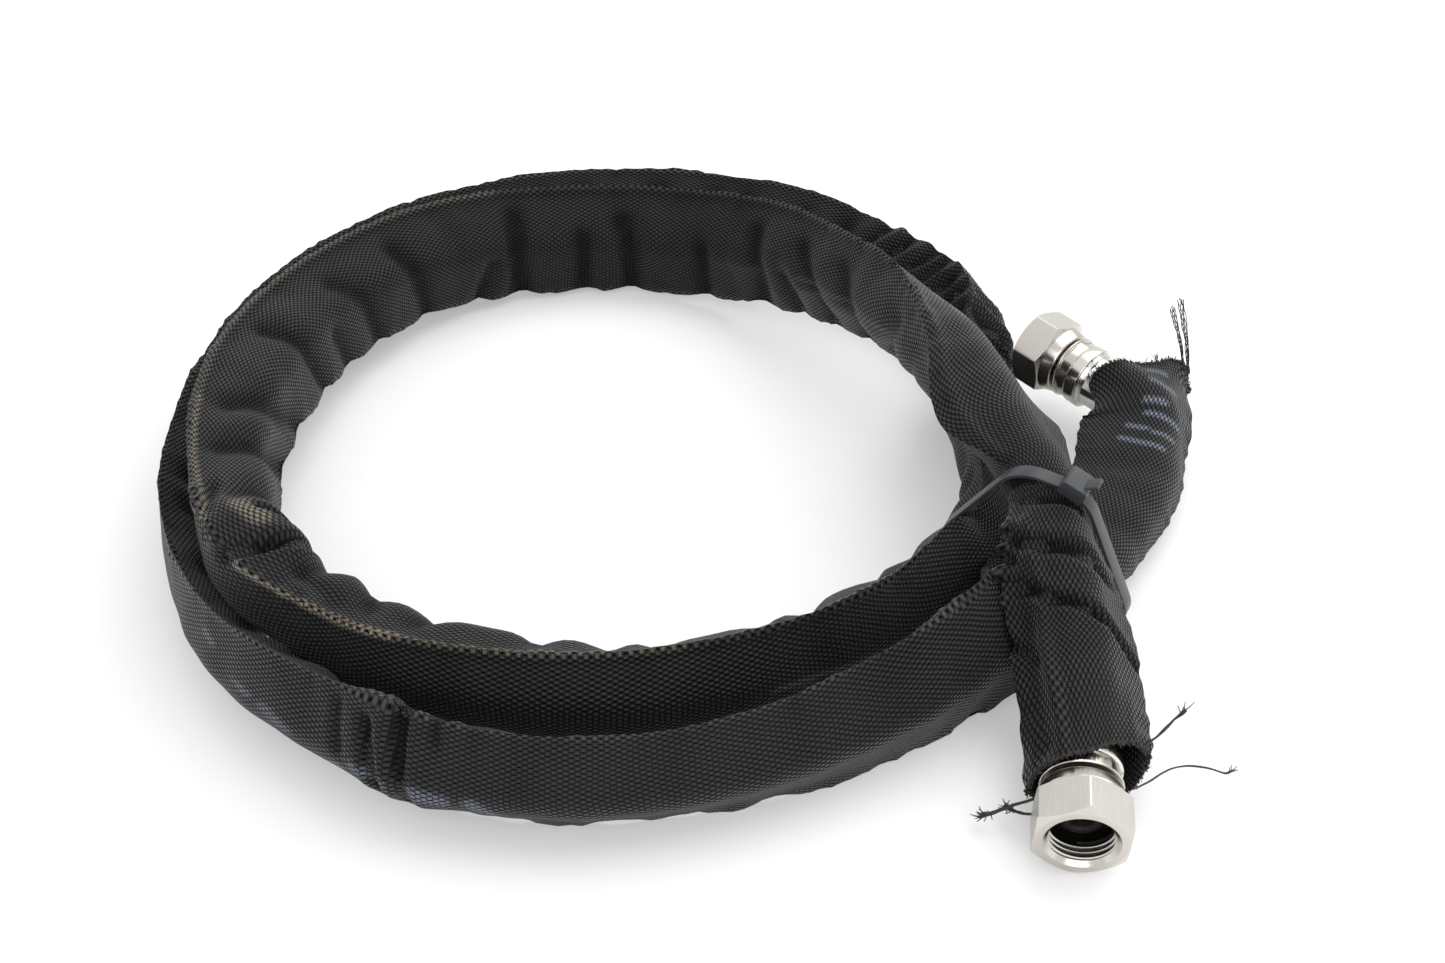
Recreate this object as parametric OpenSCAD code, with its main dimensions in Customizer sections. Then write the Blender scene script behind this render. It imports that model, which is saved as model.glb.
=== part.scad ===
// Two-wire-braid hydraulic hose assembly, DN10, with a crimped swivel fitting on each end,
// a woven protective sleeve over its whole length and one cable tie that holds its coil.
// The hose lies on the floor, z = 0, in a coil of two turns. Units are millimetres.

/* [Hose] */
// Bore of the rubber liner
hose_bore_d = 9.5; // [9:0.1:10]
// Wall of the rubber liner
liner_wall = 1.5; // [1.2:0.05:1.8]
// Thickness of the inner steel wire braid
inner_braid_wall = 0.6; // [0.4:0.05:0.8]
// Thickness of the rubber layer between the two braids
interlayer_wall = 0.35; // [0.2:0.05:0.5]
// Thickness of the outer steel wire braid
outer_braid_wall = 0.6; // [0.4:0.05:0.8]
// Wall of the rubber cover
cover_wall = 0.9; // [0.7:0.05:1.1]

/* [Sleeve] */
// Thickness of the woven nylon
sleeve_wall = 1.2; // [0.8:0.1:1.4]

/* [Swivel nut] */
// Width of the hexagon across its flats
nut_af = 27; // [26:0.5:30]
// Length of the hexagon
hex_len = 13; // [11:0.5:15]
// Length of the round shoulder behind the hexagon
shoulder_len = 5.2; // [4:0.1:6]
// Diameter of the shoulder where it leaves the hexagon
shoulder_d = 26.8; // [25:0.1:26.9]
// Diameter of the shoulder at its back edge
shoulder_back_d = 24.4; // [23:0.1:24.8]
// Minor diameter of the thread, as a plain bore (G 1/2)
thread_d = 18.63; // [18.4:0.01:19]
// Depth of the full thread from the front face
thread_depth = 7.4; // [6.5:0.1:8.5]
// Diameter of the mouth, where the lead-in chamfer starts
mouth_d = 21.5; // [21:0.1:22.5]

/* [Nipple] */
// Through bore
nipple_bore_d = 6.8; // [6:0.1:7.4]
// Gap between the end of the thread and the cone's tip
tip_gap = 0.4; // [0.2:0.1:0.8]
// Diameter of the cone's tip
tip_d = 11; // [10:0.1:12]
// Diameter of the journal that the nut turns on
journal_d = 16; // [15:0.1:16.6]
// Diameter of the wrench collar
collar_d = 23; // [21:0.1:24]
// Length of the wrench collar
collar_len = 4.6; // [4:0.1:6]
// Across the milled wrench flats
flats_af = 21.8; // [21:0.1:22.2]
// Diameter of the thin rim in front of the collar
rim_d = 24.6; // [23:0.1:25]
// Thickness of the thin rim
rim_len = 0.8; // [0.6:0.1:1.2]
// Gap between the nut and the rim
swivel_gap = 1.3; // [0.8:0.1:2]

/* [Ferrule] */
// Length of the ferrule
ferrule_len = 24.8; // [22:0.1:27]
// Diameter of the uncrimped lip
lip_d = 24.3; // [23:0.1:25]
// Length of the uncrimped lip
lip_len = 5.5; // [4:0.1:7]
// Wall of the crimped part over the hose cover
crimp_wall = 1.45; // [1.2:0.05:1.8]
// Depth of the flats that the crimping dies leave
die_depth = 0.35; // [0.1:0.05:0.5]

/* [Small parts] */
// Wire diameter of the ring that holds the nut on the nipple
ring_wire_d = 1.5; // [1.2:0.1:1.6]
// Section of the O-ring in the cone
oring_d = 1.5; // [1.2:0.1:1.6]

/* [Cable tie] */
// Width of the strap
strap_w = 4.8; // [4.4:0.1:6]
// Thickness of the strap
strap_t = 1.2; // [1:0.1:1.4]
// Length of the head along the strap
head_len = 8.8; // [8:0.1:10]
// Height of the head
head_h = 6.8; // [6:0.1:8]
// Width of the head
head_w = 8.2; // [7.6:0.1:9.5]

/* [Fits] */
// Radial gap of the journal in the nut
journal_fit = 0.05; // [0.02:0.01:0.09]
// Gap between a crimped or pushed-in piece and the hose
crimp_fit = 0.03; // [0.02:0.01:0.06]
// Gap between the ring or O-ring and its groove
groove_fit = 0.03; // [0.02:0.01:0.06]
// Gap between the nipple's shoulders and the ferrule's flange
flange_fit = 0.1; // [0.05:0.01:0.2]

/* [Hidden] */
$fn = 96;

// Radii of the hose's layers, from its bore outwards
bore_r = hose_bore_d / 2;
liner_r = bore_r + liner_wall;
inner_braid_r = liner_r + inner_braid_wall;
interlayer_r = inner_braid_r + interlayer_wall;
outer_braid_r = interlayer_r + outer_braid_wall;
cover_r = outer_braid_r + cover_wall;

// Places along a fitting, measured back from the nut's front face
shoulder_end = hex_len + shoulder_len;
journal_end = shoulder_end + swivel_gap;
collar_start = journal_end + rim_len;
collar_end = collar_start + collar_len;
ferrule_start = collar_end + flange_fit;
ferrule_end = ferrule_start + ferrule_len;
flange_len = 2.6;
flange_end = ferrule_start + flange_len;
hose_start = flange_end + 1.2;
wire_at = hex_len + 1.6;
thread_relief = 0.6;
seat_gap = 0.4;
cone_angle = 30;
tip_depth = thread_depth + tip_gap;
cone_end = tip_depth + (journal_d - tip_d) / 2 / tan(cone_angle);
oring_from_tip = 2.1;
oring_at = tip_depth + oring_from_tip;
seat_end = cone_end + seat_gap;
oring_seat_r = tip_d / 2 + (oring_at - tip_depth) * tan(cone_angle) - 0.35;
crimped_r = cover_r + crimp_fit + crimp_wall;
lock_r = 6.6;
barb_count = 5;
barb_run_out = 3;

// Middle of the coil's footprint on the floor, in the coordinates of the points below. It
// becomes the part's origin.
lay_centre = [2, 7, 0];

// Fitting A: centre of the nut's front face, direction back to the hose, turn of the hexagon
fit_a = [112.4, -194.6, 15.4] - lay_centre;
back_a = [0.129, 0.979, 0.156];
roll_a = 10;
// Fitting B
fit_b = [135.1, 70.2, 27.5] - lay_centre;
back_b = [0.665, -0.736, -0.127];
roll_b = 16;

hose_sides = 8;
sleeve_arc = 5;

// Stretch that the hose and the sleeve share. Each row is a point of the hose's centre line,
// the lean of the sleeve's flat section from upright in degrees, its reach to the upper and
// to the lower crease, and its half thickness.
shared = [
  [119.5, -124, 29, -84, 20, 20, 13],
  [118.5, -101, 41.5, -78, 20, 17, 12],
  [116.5, -82, 48, -70, 12, 12.5, 11.5],
  [114, -63, 53, -66, 12, 17.5, 11.5],
  [105.5, -36, 55.5, -80, 22, 22, 12.4],
  [95, 3.5, 56, -38, 19.2, 19.2, 14.6],
  [82, 46.5, 52, -10, 21, 21, 12.8],
  [62.5, 92.5, 42.5, -3, 21.5, 21.5, 12],
  [38, 131.5, 34.5, 8, 22, 22, 11],
  [5, 159.5, 28, 11, 21.5, 23.5, 10.4],
  [-34.5, 169.5, 26, 11, 21.5, 23.5, 10.4],
  [-76, 162.5, 27.5, 13, 21.5, 23.5, 10.4],
  [-111, 137.5, 31.5, 20, 22, 22, 10.4],
  [-137.5, 98.5, 34.5, 28, 22, 22, 10.4],
  [-153.5, 51.5, 38, 36, 22, 22, 10.4],
  [-158.5, 0.5, 41, 42, 21.5, 21.5, 11],
  [-153, -49, 40, 39, 20.5, 20.5, 12.4],
  [-134, -99, 41.5, 38, 18.8, 18.8, 14],
  [-95.5, -123, 28.5, 31, 18.5, 18.5, 14.4],
  [-54.5, -137.5, 25.5, 19, 18.4, 18.4, 14.7],
  [-14, -138, 23, 12, 19, 19, 14],
  [26, -124.5, 22, 16, 20.6, 20.6, 12.5],
  [61.5, -100, 21.5, 16, 21.4, 21.4, 11.3],
  [86.5, -76.5, 23.5, 0, 20, 22, 10.8],
  [95.5, -64, 23, -3, 13, 18, 10.5],
  [103, -48, 23, -12, 15, 19, 10.4],
  [109, -21, 21, -30, 21.5, 21.5, 10.4],
  [111, 10, 16, -60, 22, 22, 10.4],
  [113.5, 50, 12.5, -70, 22, 22, 11],
  [115, 72, 15.5, -42, 21, 21, 12],
  [115, 93, 20.5, -10, 20, 20, 12],
  [100.5, 121.5, 20, 18, 20, 20, 11.5],
  [77.5, 150.5, 20, 20, 20, 20, 11.5],
  [45.5, 175.5, 21, 22, 22, 22, 10.6],
  [2, 193.5, 21, 22, 22, 22, 10.4],
  [-45.5, 197, 21, 22, 22, 22, 10.4],
  [-93, 182, 21, 22, 22, 22, 10.4],
  [-134, 148.5, 21, 22, 22, 22, 10.4],
  [-162, 98.5, 21, 22, 22, 22, 10.4],
  [-174, 43.5, 21, 22, 22, 22, 10.4],
  [-174.5, -13, 21, 22, 22, 22, 10.4],
  [-164, -67.5, 21, 22, 22, 22, 10.4],
  [-139.5, -115.5, 20.2, 18, 22, 20.8, 10.8],
  [-103.5, -150, 21.7, 11, 21.8, 21.8, 10.8],
  [-62.5, -171, 21.7, 12, 21.6, 21.6, 11.2],
  [-20, -175.5, 21.7, 14, 21.8, 21.8, 10.8],
  [22.5, -165.5, 22, 9.5, 22, 22, 10.4],
  [61.5, -144.5, 22.8, -3, 22, 22, 10.4],
  [93, -117, 21.5, -13, 21.7, 21, 10.9],
  [108, -100.5, 16.5, -50, 23, 13.5, 10.8],
  [125, -78.5, 15.6, -66, 26, 11.2, 10.6],
  [145, -50.5, 13, -72, 26, 11, 10.6],
  [162, -20.5, 13.5, -74, 27.5, 12.5, 11],
  [171, 10.5, 17, -76, 27.5, 14, 11.5]
];
// Last stretches, where the sleeve is wider than the hose's own bend
mouth_a = [18, 18, 15];
tail_a = [19, 19, 14];
tail_b = [171.5, 25, 19.5, -78, 24, 21, 12.5];
mouth_b = [12.5, 38, 12.5];
mouth_a_at = ferrule_start + lip_len + 0.3;
mouth_b_at = 42;
mouth_lean = -88;
tail_lean = -86;
mouth_b_lean = -80;

// Cable tie: centre and tilt of the plane of its loop, and the circles that its strap hugs,
// each as x, y and radius in that plane
tie_at = [119, -68, 12] - lay_centre;
tie_heading = -30;
tie_lean = 14;
tie_hugs = [[-0.6, 38.2, 13.7], [5, 37.6, 13.6], [-20.8, 10, 13.2], [-20, 2, 11], [19, 2, 11]];
// Direction from the second circle in which the head sits on the strap
head_dir = 64;
head_sink = 0.8;
// Cut end of the strap that stands out of the head
tail_len = 4.5;
tail_turn = 52;
strap_tail_w = 4.2;

function unit(v) = v / norm(v);
function xyz(row) = [row[0], row[1], row[2]] - lay_centre;
function side_of(t) = unit(cross(t, [0, 0, 1]));
function up_of(t, lean) = cross(side_of(t), t) * cos(lean) + side_of(t) * sin(lean);
function out_of(t, lean) = side_of(t) * cos(lean) - cross(side_of(t), t) * sin(lean);
function along(at, back, u) = at + unit(back) * u;

// Rings of the hose, each as a centre and a direction of travel
hose_points = concat(
  [along(fit_a, back_a, hose_start), along(fit_a, back_a, ferrule_end)],
  [for (row = shared) xyz(row)],
  [along(fit_b, back_b, ferrule_end), along(fit_b, back_b, hose_start)]);
hose_rings = len(hose_points);
function hose_way(i) =
  i <= 1 ? unit(back_a) :
  i >= hose_rings - 2 ? -unit(back_b) :
  unit(hose_points[i + 1] - hose_points[i - 1]);

// Rings of the sleeve, each as centre, direction, lean, two reaches and half thickness
function placed_row(row) = concat(xyz(row), [for (k = [3 : 6]) row[k]]);
sleeve_rows = concat(
  [concat(along(fit_a, back_a, mouth_a_at), [mouth_lean], mouth_a)],
  [concat(along(fit_a, back_a, ferrule_end), [tail_lean], tail_a)],
  [for (row = shared) placed_row(row)],
  [placed_row(tail_b)],
  [concat(along(fit_b, back_b, mouth_b_at), [mouth_b_lean], mouth_b)]);
sleeve_rings = len(sleeve_rows);
function ring_at(i) = [for (k = [0 : 2]) sleeve_rows[i][k]];
function sleeve_way(i) =
  i <= 1 ? unit(back_a) :
  i == sleeve_rings - 1 ? -unit(back_b) :
  unit(ring_at(i + 1) - ring_at(i - 1));

// A flat section: two creases joined by tangents to a circle, as [up, out] points
function flat_half(p_up, p_down, r) =
  let(a0 = acos(r / p_up), a1 = 180 - acos(r / p_down))
  [for (k = [0 : sleeve_arc - 1])
    let(a = a0 + (a1 - a0) * k / (sleeve_arc - 1)) [r * cos(a), r * sin(a)]];
function flat_section(p_up, p_down, r) =
  let(half = flat_half(p_up, p_down, r))
  concat([[p_up, 0]], half, [[-p_down, 0]],
         [for (k = [sleeve_arc - 1 : -1 : 0]) [half[k][0], -half[k][1]]]);
function round_section(r) =
  [for (k = [0 : hose_sides - 1]) [r * cos(360 * k / hose_sides), r * sin(360 * k / hose_sides)]];
function placed(section, at, way, lean) =
  [for (p = section) at + p[0] * up_of(way, lean) + p[1] * out_of(way, lean)];

// Triangles between two neighbouring rings of n points, and the flat rings at the two ends
function wall_faces(n, rings, base, inside) =
  [for (i = [0 : rings - 2], k = [0 : n - 1], half = [0, 1])
    let(a = base + i * n + k, b = base + i * n + (k + 1) % n, c = b + n, d = a + n)
    half == 0 ? (inside ? [a, b, c] : [a, c, b]) : (inside ? [a, c, d] : [a, d, c])];
function end_faces(n, outer, inner, far) =
  [for (k = [0 : n - 1], half = [0, 1])
    let(a = outer + k, b = outer + (k + 1) % n, c = inner + (k + 1) % n, d = inner + k)
    half == 0 ? (far ? [a, c, b] : [a, b, c]) : (far ? [a, d, c] : [a, c, d])];

// A hollow skin from lists of outer and inner rings
module hollow_skin(outer, inner) {
  rings = len(outer);
  n = len(outer[0]);
  total = rings * n;
  points = concat([for (ring = outer, p = ring) p], [for (ring = inner, p = ring) p]);
  polyhedron(points = points, convexity = 10, faces = concat(
    wall_faces(n, rings, 0, false),
    wall_faces(n, rings, total, true),
    end_faces(n, 0, total, false),
    end_faces(n, total - n, 2 * total - n, true)));
}

// One layer of the hose. The bore's flats, not its corners, lie on the true radius.
module hose_layer(r_in, r_out, bore = false) {
  r0 = bore ? r_in / cos(180 / hose_sides) : r_in;
  hollow_skin(
    [for (i = [0 : hose_rings - 1]) placed(round_section(r_out), hose_points[i], hose_way(i), 0)],
    [for (i = [0 : hose_rings - 1]) placed(round_section(r0), hose_points[i], hose_way(i), 0)]);
}

module hose_liner() { color("#1c1c1c") hose_layer(bore_r, liner_r, bore = true); }

module inner_braid() { color("#9a948a") hose_layer(liner_r, inner_braid_r); }

module braid_interlayer() { color("#262626") hose_layer(inner_braid_r, interlayer_r); }

module outer_braid() { color("#a39c90") hose_layer(interlayer_r, outer_braid_r); }

module hose_cover() { color("#202020") hose_layer(outer_braid_r, cover_r); }

module protective_sleeve() {
  color("#2b2b2c")
  hollow_skin(
    [for (i = [0 : sleeve_rings - 1]) let(s = sleeve_rows[i])
      placed(flat_section(s[4], s[5], s[6]), ring_at(i), sleeve_way(i), s[3])],
    [for (i = [0 : sleeve_rings - 1])
      let(s = sleeve_rows[i], k = (s[6] - sleeve_wall) / s[6])
      placed(flat_section(s[4] * k, s[5] * k, s[6] * k), ring_at(i), sleeve_way(i), s[3])]);
}

// Outline of the tie's loop, grown outwards by a distance
module tie_outline(grow) {
  hull() for (c = tie_hugs) translate([c[0], c[1]]) circle(r = c[2] + grow, $fn = 40);
}

// Rounded side view of the tie's head
module head_outline() {
  edge_r = 1.6;
  hull() for (x = [-1, 1], y = [-1, 1])
    translate([x * (head_len / 2 - edge_r), y * (head_h / 2 - edge_r)]) circle(r = edge_r, $fn = 24);
}

module cable_tie() {
  hug = tie_hugs[1];
  head_r = hug[2] + head_h / 2 - head_sink;
  head_at = [hug[0] + head_r * cos(head_dir), hug[1] + head_r * sin(head_dir)];
  head_turn = head_dir - 90;
  color("#2f3033")
  translate(tie_at) rotate([90 + tie_lean, 0, tie_heading]) {
    difference() {
      union() {
        linear_extrude(strap_w, center = true) tie_outline(strap_t);
        translate(head_at) rotate(head_turn)
          linear_extrude(head_w, center = true) head_outline();
        translate(head_at) rotate(head_turn + tail_turn)
          translate([0, -strap_t / 2, -strap_tail_w / 2])
            cube([head_len / 2 + tail_len, strap_t, strap_tail_w]);
      }
      linear_extrude(head_w + 2, center = true) tie_outline(0);
    }
  }
}

// Puts a piece drawn along +Z, from the nut's front face backwards, where its fitting lies
module at_fitting(at, back, roll = 0) {
  b = unit(back);
  translate(at) rotate([0, acos(b[2]), atan2(b[1], b[0])]) rotate(roll) children();
}

// A ring groove or a ring, as a turned circle
module turned_ring(r, section_d, u) {
  translate([0, 0, u]) rotate_extrude() translate([r, 0]) circle(d = section_d, $fn = 32);
}

module swivel_nut() {
  corner_r = nut_af / 2 / cos(30);
  front_r = nut_af / 2 - 0.5;
  front_rise = (corner_r - front_r) * tan(30);
  back_rise = (corner_r - shoulder_d / 2) * tan(30);
  edge_r = 0.9;
  lead = (mouth_d - thread_d) / 2;
  difference() {
    union() {
      intersection() {
        cylinder(r = corner_r, h = hex_len, $fn = 6);
        rotate_extrude() polygon([
          [0, 0], [front_r, 0], [corner_r, front_rise], [corner_r, hex_len - back_rise],
          [shoulder_d / 2, hex_len], [0, hex_len]]);
      }
      rotate_extrude() polygon(concat(
        [[0, hex_len - 1], [shoulder_d / 2, hex_len - 1], [shoulder_d / 2, hex_len + 0.6]],
        [for (a = [0 : 15 : 90])
          [shoulder_back_d / 2 - edge_r + edge_r * cos(a), shoulder_end - edge_r + edge_r * sin(a)]],
        [[0, shoulder_end]]));
    }
    rotate_extrude() polygon([
      [0, -1], [mouth_d / 2 + 1, -1], [mouth_d / 2, 0], [thread_d / 2, lead],
      [thread_d / 2, thread_depth], [thread_d / 2 + thread_relief, thread_depth + thread_relief / 2],
      [thread_d / 2 + thread_relief, seat_end], [journal_d / 2 + journal_fit, seat_end + 0.2],
      [journal_d / 2 + journal_fit, shoulder_end + 1], [0, shoulder_end + 1]]);
    turned_ring(journal_d / 2 + 0.05, ring_wire_d + 2 * groove_fit + 0.1, wire_at);
  }
}

module nipple() {
  bore = nipple_bore_d / 2;
  tail_r = bore_r - crimp_fit;
  barb_step = (ferrule_end - hose_start - barb_run_out) / barb_count;
  difference() {
    rotate_extrude() polygon(concat(
      [[bore, tip_depth + 0.6], [bore + 0.6, tip_depth], [tip_d / 2, tip_depth],
       [journal_d / 2, cone_end], [journal_d / 2, journal_end],
       [rim_d / 2 - 0.2, journal_end], [rim_d / 2, journal_end + 0.2],
       [rim_d / 2, collar_start - 0.2], [rim_d / 2 - 0.2, collar_start],
       [collar_d / 2, collar_start], [collar_d / 2, collar_end - 0.3], [collar_d / 2 - 0.3, collar_end],
       [lock_r, collar_end], [lock_r, flange_end + flange_fit],
       [lock_r + 0.7, flange_end + flange_fit], [lock_r + 0.7, hose_start - 0.2],
       [tail_r, hose_start - 0.2]],
      [for (i = [0 : barb_count - 1], p = [[0, 0.8], [-0.35, 0.9], [0, barb_step]])
        [tail_r + p[0], hose_start + i * barb_step + p[1]]],
      [[tail_r, ferrule_end - 1.6], [tail_r - 0.6, ferrule_end - 0.6], [bore, ferrule_end - 0.6]]));
    turned_ring(journal_d / 2, ring_wire_d + 2 * groove_fit, wire_at);
    turned_ring(oring_seat_r, oring_d + 2 * groove_fit, oring_at);
    for (k = [0 : 7]) rotate(22.5 + 45 * k)
      translate([flats_af / 2, -collar_d / 2, collar_start + 0.3])
        cube([collar_d, collar_d, collar_len - 0.7]);
  }
}

module ferrule() {
  lip_end = ferrule_start + lip_len;
  difference() {
    union() {
      rotate_extrude() polygon([
        [lock_r + flange_fit, ferrule_start], [lip_d / 2 - 0.7, ferrule_start],
        [lip_d / 2, ferrule_start + 0.5], [lip_d / 2, lip_end - 0.6], [lip_d / 2 - 0.9, lip_end],
        [crimped_r + 0.3, lip_end + 1.2], [crimped_r - 0.5, lip_end + 1.8],
        [lock_r + flange_fit, lip_end + 1.8]]);
      intersection() {
        rotate_extrude() polygon([
          [lock_r + flange_fit, lip_end - 1], [crimped_r, lip_end - 1],
          [crimped_r, ferrule_end - 0.5], [crimped_r - 0.5, ferrule_end],
          [lock_r + flange_fit, ferrule_end]]);
        cylinder(r = (crimped_r - die_depth) / cos(22.5), h = ferrule_end + 1, $fn = 8);
      }
    }
    translate([0, 0, flange_end]) cylinder(r = cover_r + crimp_fit, h = ferrule_len);
    cylinder(r = lock_r + flange_fit, h = ferrule_end);
  }
}

module retaining_wire() { turned_ring(journal_d / 2, ring_wire_d, wire_at); }

module cone_oring() { turned_ring(oring_seat_r, oring_d, oring_at); }

module swivel_nut_a() { color("#cfccc6") at_fitting(fit_a, back_a, roll_a) swivel_nut(); }

module nipple_a() { color("#c4c2bc") at_fitting(fit_a, back_a) nipple(); }

module retaining_wire_a() { color("#9c9a95") at_fitting(fit_a, back_a) retaining_wire(); }

module cone_oring_a() { color("#151515") at_fitting(fit_a, back_a) cone_oring(); }

module ferrule_a() { color("#bdbbb5") at_fitting(fit_a, back_a) ferrule(); }

module swivel_nut_b() { color("#cfccc6") at_fitting(fit_b, back_b, roll_b) swivel_nut(); }

module nipple_b() { color("#c4c2bc") at_fitting(fit_b, back_b) nipple(); }

module retaining_wire_b() { color("#9c9a95") at_fitting(fit_b, back_b) retaining_wire(); }

module cone_oring_b() { color("#151515") at_fitting(fit_b, back_b) cone_oring(); }

module ferrule_b() { color("#bdbbb5") at_fitting(fit_b, back_b) ferrule(); }

hose_liner();
inner_braid();
braid_interlayer();
outer_braid();
hose_cover();
protective_sleeve();
cable_tie();
swivel_nut_a();
nipple_a();
retaining_wire_a();
cone_oring_a();
ferrule_a();
swivel_nut_b();
nipple_b();
retaining_wire_b();
cone_oring_b();
ferrule_b();
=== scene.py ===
import math
from functools import partial

import bpy
import numpy as np
from mathutils import Matrix, Vector


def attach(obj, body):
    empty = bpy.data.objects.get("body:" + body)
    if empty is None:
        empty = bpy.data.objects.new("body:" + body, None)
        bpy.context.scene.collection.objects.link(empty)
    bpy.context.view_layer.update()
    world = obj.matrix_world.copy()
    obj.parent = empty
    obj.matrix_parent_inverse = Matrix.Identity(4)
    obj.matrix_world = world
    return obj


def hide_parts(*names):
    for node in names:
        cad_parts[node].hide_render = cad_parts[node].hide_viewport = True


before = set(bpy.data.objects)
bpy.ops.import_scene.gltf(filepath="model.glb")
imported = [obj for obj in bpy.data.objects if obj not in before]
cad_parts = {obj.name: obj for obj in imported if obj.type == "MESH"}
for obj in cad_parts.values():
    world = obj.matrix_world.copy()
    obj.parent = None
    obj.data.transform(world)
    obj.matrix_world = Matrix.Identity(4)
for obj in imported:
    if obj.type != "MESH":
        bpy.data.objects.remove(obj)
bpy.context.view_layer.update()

# A two-turn coil of hydraulic hose in a woven sleeve, tied once, with a swivel nut on each end:
# finishes, camera and stage first, then hose, sleeve, fittings and loose yarn
MM = 0.001
PI = math.pi

# ---------------- route of the hose and sleeve
# Sizes and points are in millimetres here and become metres when a mesh is made. The route is
# written from the place where the coil was laid, and the coil's centre is moved to the middle.
LAY_CENTRE = np.array([2.0, 7.0, 0.0])
# Each fitting: middle of the nut's front face, way from there into the hose, turn of the hexagon
FIT_A = np.array([112.4, -194.6, 15.4]) - LAY_CENTRE
BACK_A = np.array([0.129, 0.979, 0.156])
ROLL_A = 2.5
FIT_B = np.array([135.1, 70.2, 27.5]) - LAY_CENTRE
BACK_B = np.array([0.665, -0.736, -0.127])
ROLL_B = 16
# Distances behind the nut's front face
HOSE_START = 28.8
FERRULE_END = 49.8
MOUTH_A_AT = 30.8
MOUTH_B_AT = 42.0

# x, y, z, lean of the flat sleeve, reach to its upper and lower crease, half thickness
SHARED = [
    [119.5, -124, 29, -84, 20, 20, 13],
    [118.5, -101, 41.5, -78, 20, 17, 12],
    [116.5, -82, 48, -70, 12, 12.5, 11.5],
    [114, -63, 53, -66, 12, 17.5, 11.5],
    [105.5, -36, 55.5, -80, 22, 22, 12.4],
    [95, 3.5, 56, -38, 19.2, 19.2, 14.6],
    [82, 46.5, 52, -10, 21, 21, 12.8],
    [62.5, 92.5, 42.5, -3, 21.5, 21.5, 12],
    [38, 131.5, 34.5, 8, 22, 22, 11],
    [5, 159.5, 28, 11, 21.5, 23.5, 10.4],
    [-34.5, 169.5, 26, 11, 21.5, 23.5, 10.4],
    [-76, 162.5, 27.5, 13, 21.5, 23.5, 10.4],
    [-111, 137.5, 31.5, 20, 22, 22, 10.4],
    [-137.5, 98.5, 34.5, 28, 22, 22, 10.4],
    [-153.5, 51.5, 38, 36, 22, 22, 10.4],
    [-158.5, 0.5, 41, 42, 21.5, 21.5, 11],
    [-153, -49, 40, 39, 20.5, 20.5, 12.4],
    [-134, -99, 41.5, 38, 18.8, 18.8, 14],
    [-95.5, -123, 28.5, 31, 18.5, 18.5, 14.4],
    [-54.5, -137.5, 25.5, 19, 18.4, 18.4, 14.7],
    [-14, -138, 23, 12, 19, 19, 14],
    [26, -124.5, 22, 16, 20.6, 20.6, 12.5],
    [61.5, -100, 21.5, 16, 21.4, 21.4, 11.3],
    [86.5, -76.5, 23.5, 0, 20, 22, 10.8],
    [95.5, -64, 23, -3, 13, 18, 10.5],
    [103, -48, 23, -12, 15, 19, 10.4],
    [109, -21, 21, -30, 21.5, 21.5, 10.4],
    [111, 10, 16, -60, 22, 22, 10.4],
    [113.5, 50, 12.5, -70, 22, 22, 11],
    [115, 72, 15.5, -42, 21, 21, 12],
    [115, 93, 20.5, -10, 20, 20, 12],
    [100.5, 121.5, 20, 18, 20, 20, 11.5],
    [77.5, 150.5, 20, 20, 20, 20, 11.5],
    [45.5, 175.5, 21, 22, 22, 22, 10.6],
    [2, 193.5, 21, 22, 22, 22, 10.4],
    [-45.5, 197, 21, 22, 22, 22, 10.4],
    [-93, 182, 21, 22, 22, 22, 10.4],
    [-134, 148.5, 21, 22, 22, 22, 10.4],
    [-162, 98.5, 21, 22, 22, 22, 10.4],
    [-174, 43.5, 21, 22, 22, 22, 10.4],
    [-174.5, -13, 21, 22, 22, 22, 10.4],
    [-164, -67.5, 21, 22, 22, 22, 10.4],
    [-139.5, -115.5, 20.2, 18, 22, 20.8, 10.8],
    [-103.5, -150, 21.7, 11, 21.8, 21.8, 10.8],
    [-62.5, -171, 21.7, 12, 21.6, 21.6, 11.2],
    [-20, -175.5, 21.7, 14, 21.8, 21.8, 10.8],
    [22.5, -165.5, 22, 9.5, 22, 22, 10.4],
    [61.5, -144.5, 22.8, -3, 22, 22, 10.4],
    [93, -117, 21.5, -13, 21.7, 21, 10.9],
    [108, -100.5, 16.5, -50, 23, 13.5, 10.8],
    [125, -78.5, 15.6, -66, 26, 11.2, 10.6],
    [145, -50.5, 13, -72, 26, 11, 10.6],
    [162, -20.5, 13.5, -74, 27.5, 12.5, 11],
    [171, 10.5, 17, -76, 27.5, 14, 11.5],
]
TAIL_B = [171.5, 25, 19.5, -78, 24, 21, 12.5]


def unit(v):
    return v / np.linalg.norm(v, axis=-1, keepdims=True)


def along(at, back, u):
    """The point at distance u behind a fitting's front face."""
    return at + unit(back) * u


def placed_row(row):
    """A row of the route with its point moved to the shared frame."""
    return list(np.array(row[:3]) - LAY_CENTRE) + list(row[3:])


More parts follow.
